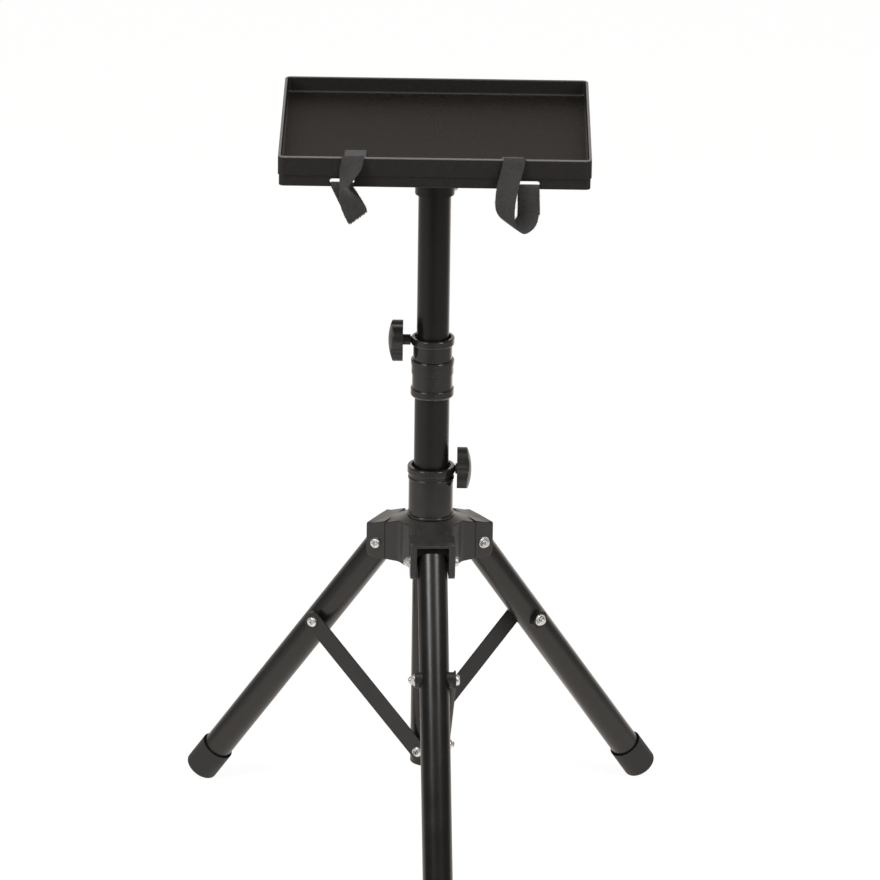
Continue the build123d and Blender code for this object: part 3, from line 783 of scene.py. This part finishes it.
def fray(name, line, start, end, fold):
    """Loose fibres along the edges of a strap, and along its worn fold where one is given."""
    bm = bmesh.new()
    for _ in range(fibre_count):
        along = draw.uniform(start, end)
        middle, across, ahead, face = strap_frame(line, along)
        edge = draw.choice((-1, 1))
        root = middle + across * edge * strap_half_width * draw.uniform(0.96, 1.0)
        lean = ahead * draw.uniform(-0.7, 0.7) + face * draw.uniform(-0.8, 0.8)
        tip = root + (across * edge + lean).normalized() * draw.uniform(*fibre_lengths)
        foot = ahead * fibre_foot
        bm.faces.new([bm.verts.new(spot) for spot in (root - foot, root + foot, tip)])
    for _ in range(fold_fibre_count if fold else 0):
        middle, across, ahead, face = strap_frame(line, fold)
        outward = -face if face.z > 0 else face
        root = middle + across * strap_half_width * draw.uniform(-0.97, 0.97) - outward * fold_fibre_root
        lean = across * draw.uniform(-0.4, 0.4) + ahead * draw.uniform(-0.3, 0.3)
        tip = root + (outward + lean).normalized() * draw.uniform(*fold_fibre_lengths)
        foot = across * fold_fibre_foot
        bm.faces.new([bm.verts.new(spot) for spot in (root - foot, root + foot, tip)])
    return make_piece(bm, name, webbing, "tray", None)


for side, stations in (("right", right_stations), ("left", left_stations)):
    line = strap_line(stations)
    strap = ribbon(f"strap_{side}_webbing", line)
    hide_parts(f"strap_{side}")
    spots = list(zip(line[0], line[2]))
    over_lip = next(d for middle, d in spots if middle.y < lip.y)
    slot_at = next(d for middle, d in spots if d > over_lip + shortest_loop and middle.y > lip.y - slot_mouth)
    thread = sew(f"strap_{side}_stitching", line, slot_at)
    fold_at = min(spots, key=lambda spot: spot[0].z)[1]
    fuzz = fray(f"strap_{side}_fuzz", line, over_lip, slot_at, fold_at if side == "left" else None)

# Studio: white paper that runs back under the stand, two soft boxes high to the sides and one overhead.
# The room behind the camera is dim, so upright tubes stay dark between their bright edges.
floor_bm = bmesh.new()
bmesh.ops.create_grid(floor_bm, x_segments=1, y_segments=1, size=12.0)
floor_mesh = bpy.data.meshes.new("floor")
floor_bm.to_mesh(floor_mesh)
floor_bm.free()
floor = bpy.data.objects.new("floor", floor_mesh)
bpy.context.scene.collection.objects.link(floor)
floor_paper = bpy.data.materials.new("floor_paper")
floor_paper.use_nodes = True
tree = floor_paper.node_tree
tree.nodes.clear()
output = tree.nodes.new("ShaderNodeOutputMaterial")
paper = tree.nodes.new("ShaderNodeBsdfDiffuse")
paper.inputs["Color"].default_value = (0.8, 0.8, 0.8, 1.0)
glow = tree.nodes.new("ShaderNodeEmission")
seen_glow = 1.15
seen_share = 0.81
card_share = 0.95
seen = tree.nodes.new("ShaderNodeLightPath")
spot = tree.nodes.new("ShaderNodeNewGeometry")
reach_out = tree.nodes.new("ShaderNodeVectorMath")
reach_out.operation = "LENGTH"
tree.links.new(spot.outputs["Position"], reach_out.inputs[0])
bearing = tree.nodes.new("ShaderNodeVectorMath")
bearing.operation = "NORMALIZE"
tree.links.new(spot.outputs["Position"], bearing.inputs[0])
bearing_parts = tree.nodes.new("ShaderNodeSeparateXYZ")
tree.links.new(bearing.outputs["Vector"], bearing_parts.inputs["Vector"])
near_paper = spread_node(tree, reach_out.outputs["Value"], 0.9, 1.15, 1.12, 0.2)
back_paper = spread_node(tree, bearing_parts.outputs["Y"], 0.5, 0.95, 0.2, 1.0)
right_paper = spread_node(tree, bearing_parts.outputs["X"], 0.05, 0.4, 1.0, 1.9)
left_paper = spread_node(tree, bearing_parts.outputs["X"], -0.3, -0.85, 0.2, 0.58)
back_card = math_node(tree, "MULTIPLY", back_paper, right_paper)
card = math_node(tree, "MAXIMUM", math_node(tree, "MAXIMUM", near_paper, back_card), left_paper)
reflected = blend_node(tree, seen.outputs["Is Glossy Ray"], 0.0, card, "FLOAT")
strength = blend_node(tree, seen.outputs["Is Camera Ray"], reflected, seen_glow, "FLOAT")
tree.links.new(strength, glow.inputs["Strength"])
warm_room = (1.0, 0.93, 0.87)
white_room = (1.0, 1.0, 1.0)
tree.links.new(blend_node(tree, seen.outputs["Is Camera Ray"], warm_room, white_room), glow.inputs["Color"])
glow_share = blend_node(tree, seen.outputs["Is Glossy Ray"], 0.0, card_share, "FLOAT")
glow_share = blend_node(tree, seen.outputs["Is Camera Ray"], glow_share, seen_share, "FLOAT")
mix = tree.nodes.new("ShaderNodeMixShader")
tree.links.new(glow_share, mix.inputs["Fac"])
tree.links.new(paper.outputs["BSDF"], mix.inputs[1])
tree.links.new(glow.outputs["Emission"], mix.inputs[2])
tree.links.new(mix.outputs["Shader"], output.inputs["Surface"])
floor_mesh.materials.append(floor_paper)

world = bpy.data.worlds.new("studio")
bpy.context.scene.world = world
world.use_nodes = True
tree = world.node_tree
sky = tree.nodes["Background"]
seen = tree.nodes.new("ShaderNodeLightPath")
tree.links.new(blend_node(tree, seen.outputs["Is Camera Ray"], warm_room, white_room), sky.inputs["Color"])
way = tree.nodes.new("ShaderNodeTexCoord")
way_parts = tree.nodes.new("ShaderNodeSeparateXYZ")
tree.links.new(way.outputs["Generated"], way_parts.inputs["Vector"])
dim_front = spread_node(tree, way_parts.outputs["Y"], 0.4, 0.95, 0.1, 1.0)
reflected = blend_node(tree, seen.outputs["Is Glossy Ray"], 0.36, dim_front, "FLOAT")
strength = blend_node(tree, seen.outputs["Is Camera Ray"], reflected, 1.0, "FLOAT")
tree.links.new(strength, sky.inputs["Strength"])

# The front leg has two small boxes of its own close to the hub, so its sheen fades towards the foot.
front_leg = frame["nodes"]["leg_tube_front"]
only_front_leg = bpy.data.collections.new("only_front_leg")
all_but_front_leg = bpy.data.collections.new("all_but_front_leg")
for group in (only_front_leg, all_but_front_leg):
    group.objects.link(front_leg)
all_but_front_leg.collection_objects[0].light_linking.link_state = "EXCLUDE"
aim = Vector((0, -0.1, 0.4))
for name, place, width, height, power, lit in (
    ("key_left", (-1.62, -1.42, 2.05), 1.1, 1.3, 30.0, all_but_front_leg),
    ("key_right", (1.62, -1.42, 2.05), 0.8, 1.3, 24.0, all_but_front_leg),
    ("overhead", (0.0, -0.75, 2.75), 1.4, 0.8, 14.0, None),
    ("leg_box_left", (-0.50, -0.53, 1.03), 0.3, 0.3, 3.7, only_front_leg),
    ("leg_box_right", (0.50, -0.51, 1.08), 0.3, 0.3, 2.6, only_front_leg),
):
    lamp = bpy.data.lights.new(name, "AREA")
    lamp.shape = "RECTANGLE"
    lamp.size = width
    lamp.size_y = height
    lamp.energy = power
    stand = bpy.data.objects.new(name, lamp)
    stand.location = place
    stand.rotation_euler = (aim - Vector(place)).to_track_quat("-Z", "Y").to_euler()
    stand.visible_camera = False
    if lit:
        stand.light_linking.receiver_collection = lit
    bpy.context.scene.collection.objects.link(stand)

picture_width = 880
focal_length = 7000
stands_at = (0.02181, -7.73002, 3.23300)
look_down = radians(19.5675)
look_aside = radians(0.0881)
roll = radians(0.8)
lens = bpy.data.cameras.new("view")
lens.sensor_width = 36.0
lens.lens = lens.sensor_width * focal_length / picture_width
lens.clip_end = 40.0
camera = bpy.data.objects.new("view", lens)
turned = Euler((pi / 2 - look_down, 0, look_aside)).to_matrix() @ Matrix.Rotation(roll, 3, "Z")
camera.matrix_world = Matrix.Translation(stands_at) @ turned.to_4x4()
bpy.context.scene.collection.objects.link(camera)
bpy.context.scene.camera = camera
bpy.context.scene.view_settings.view_transform = "Standard"
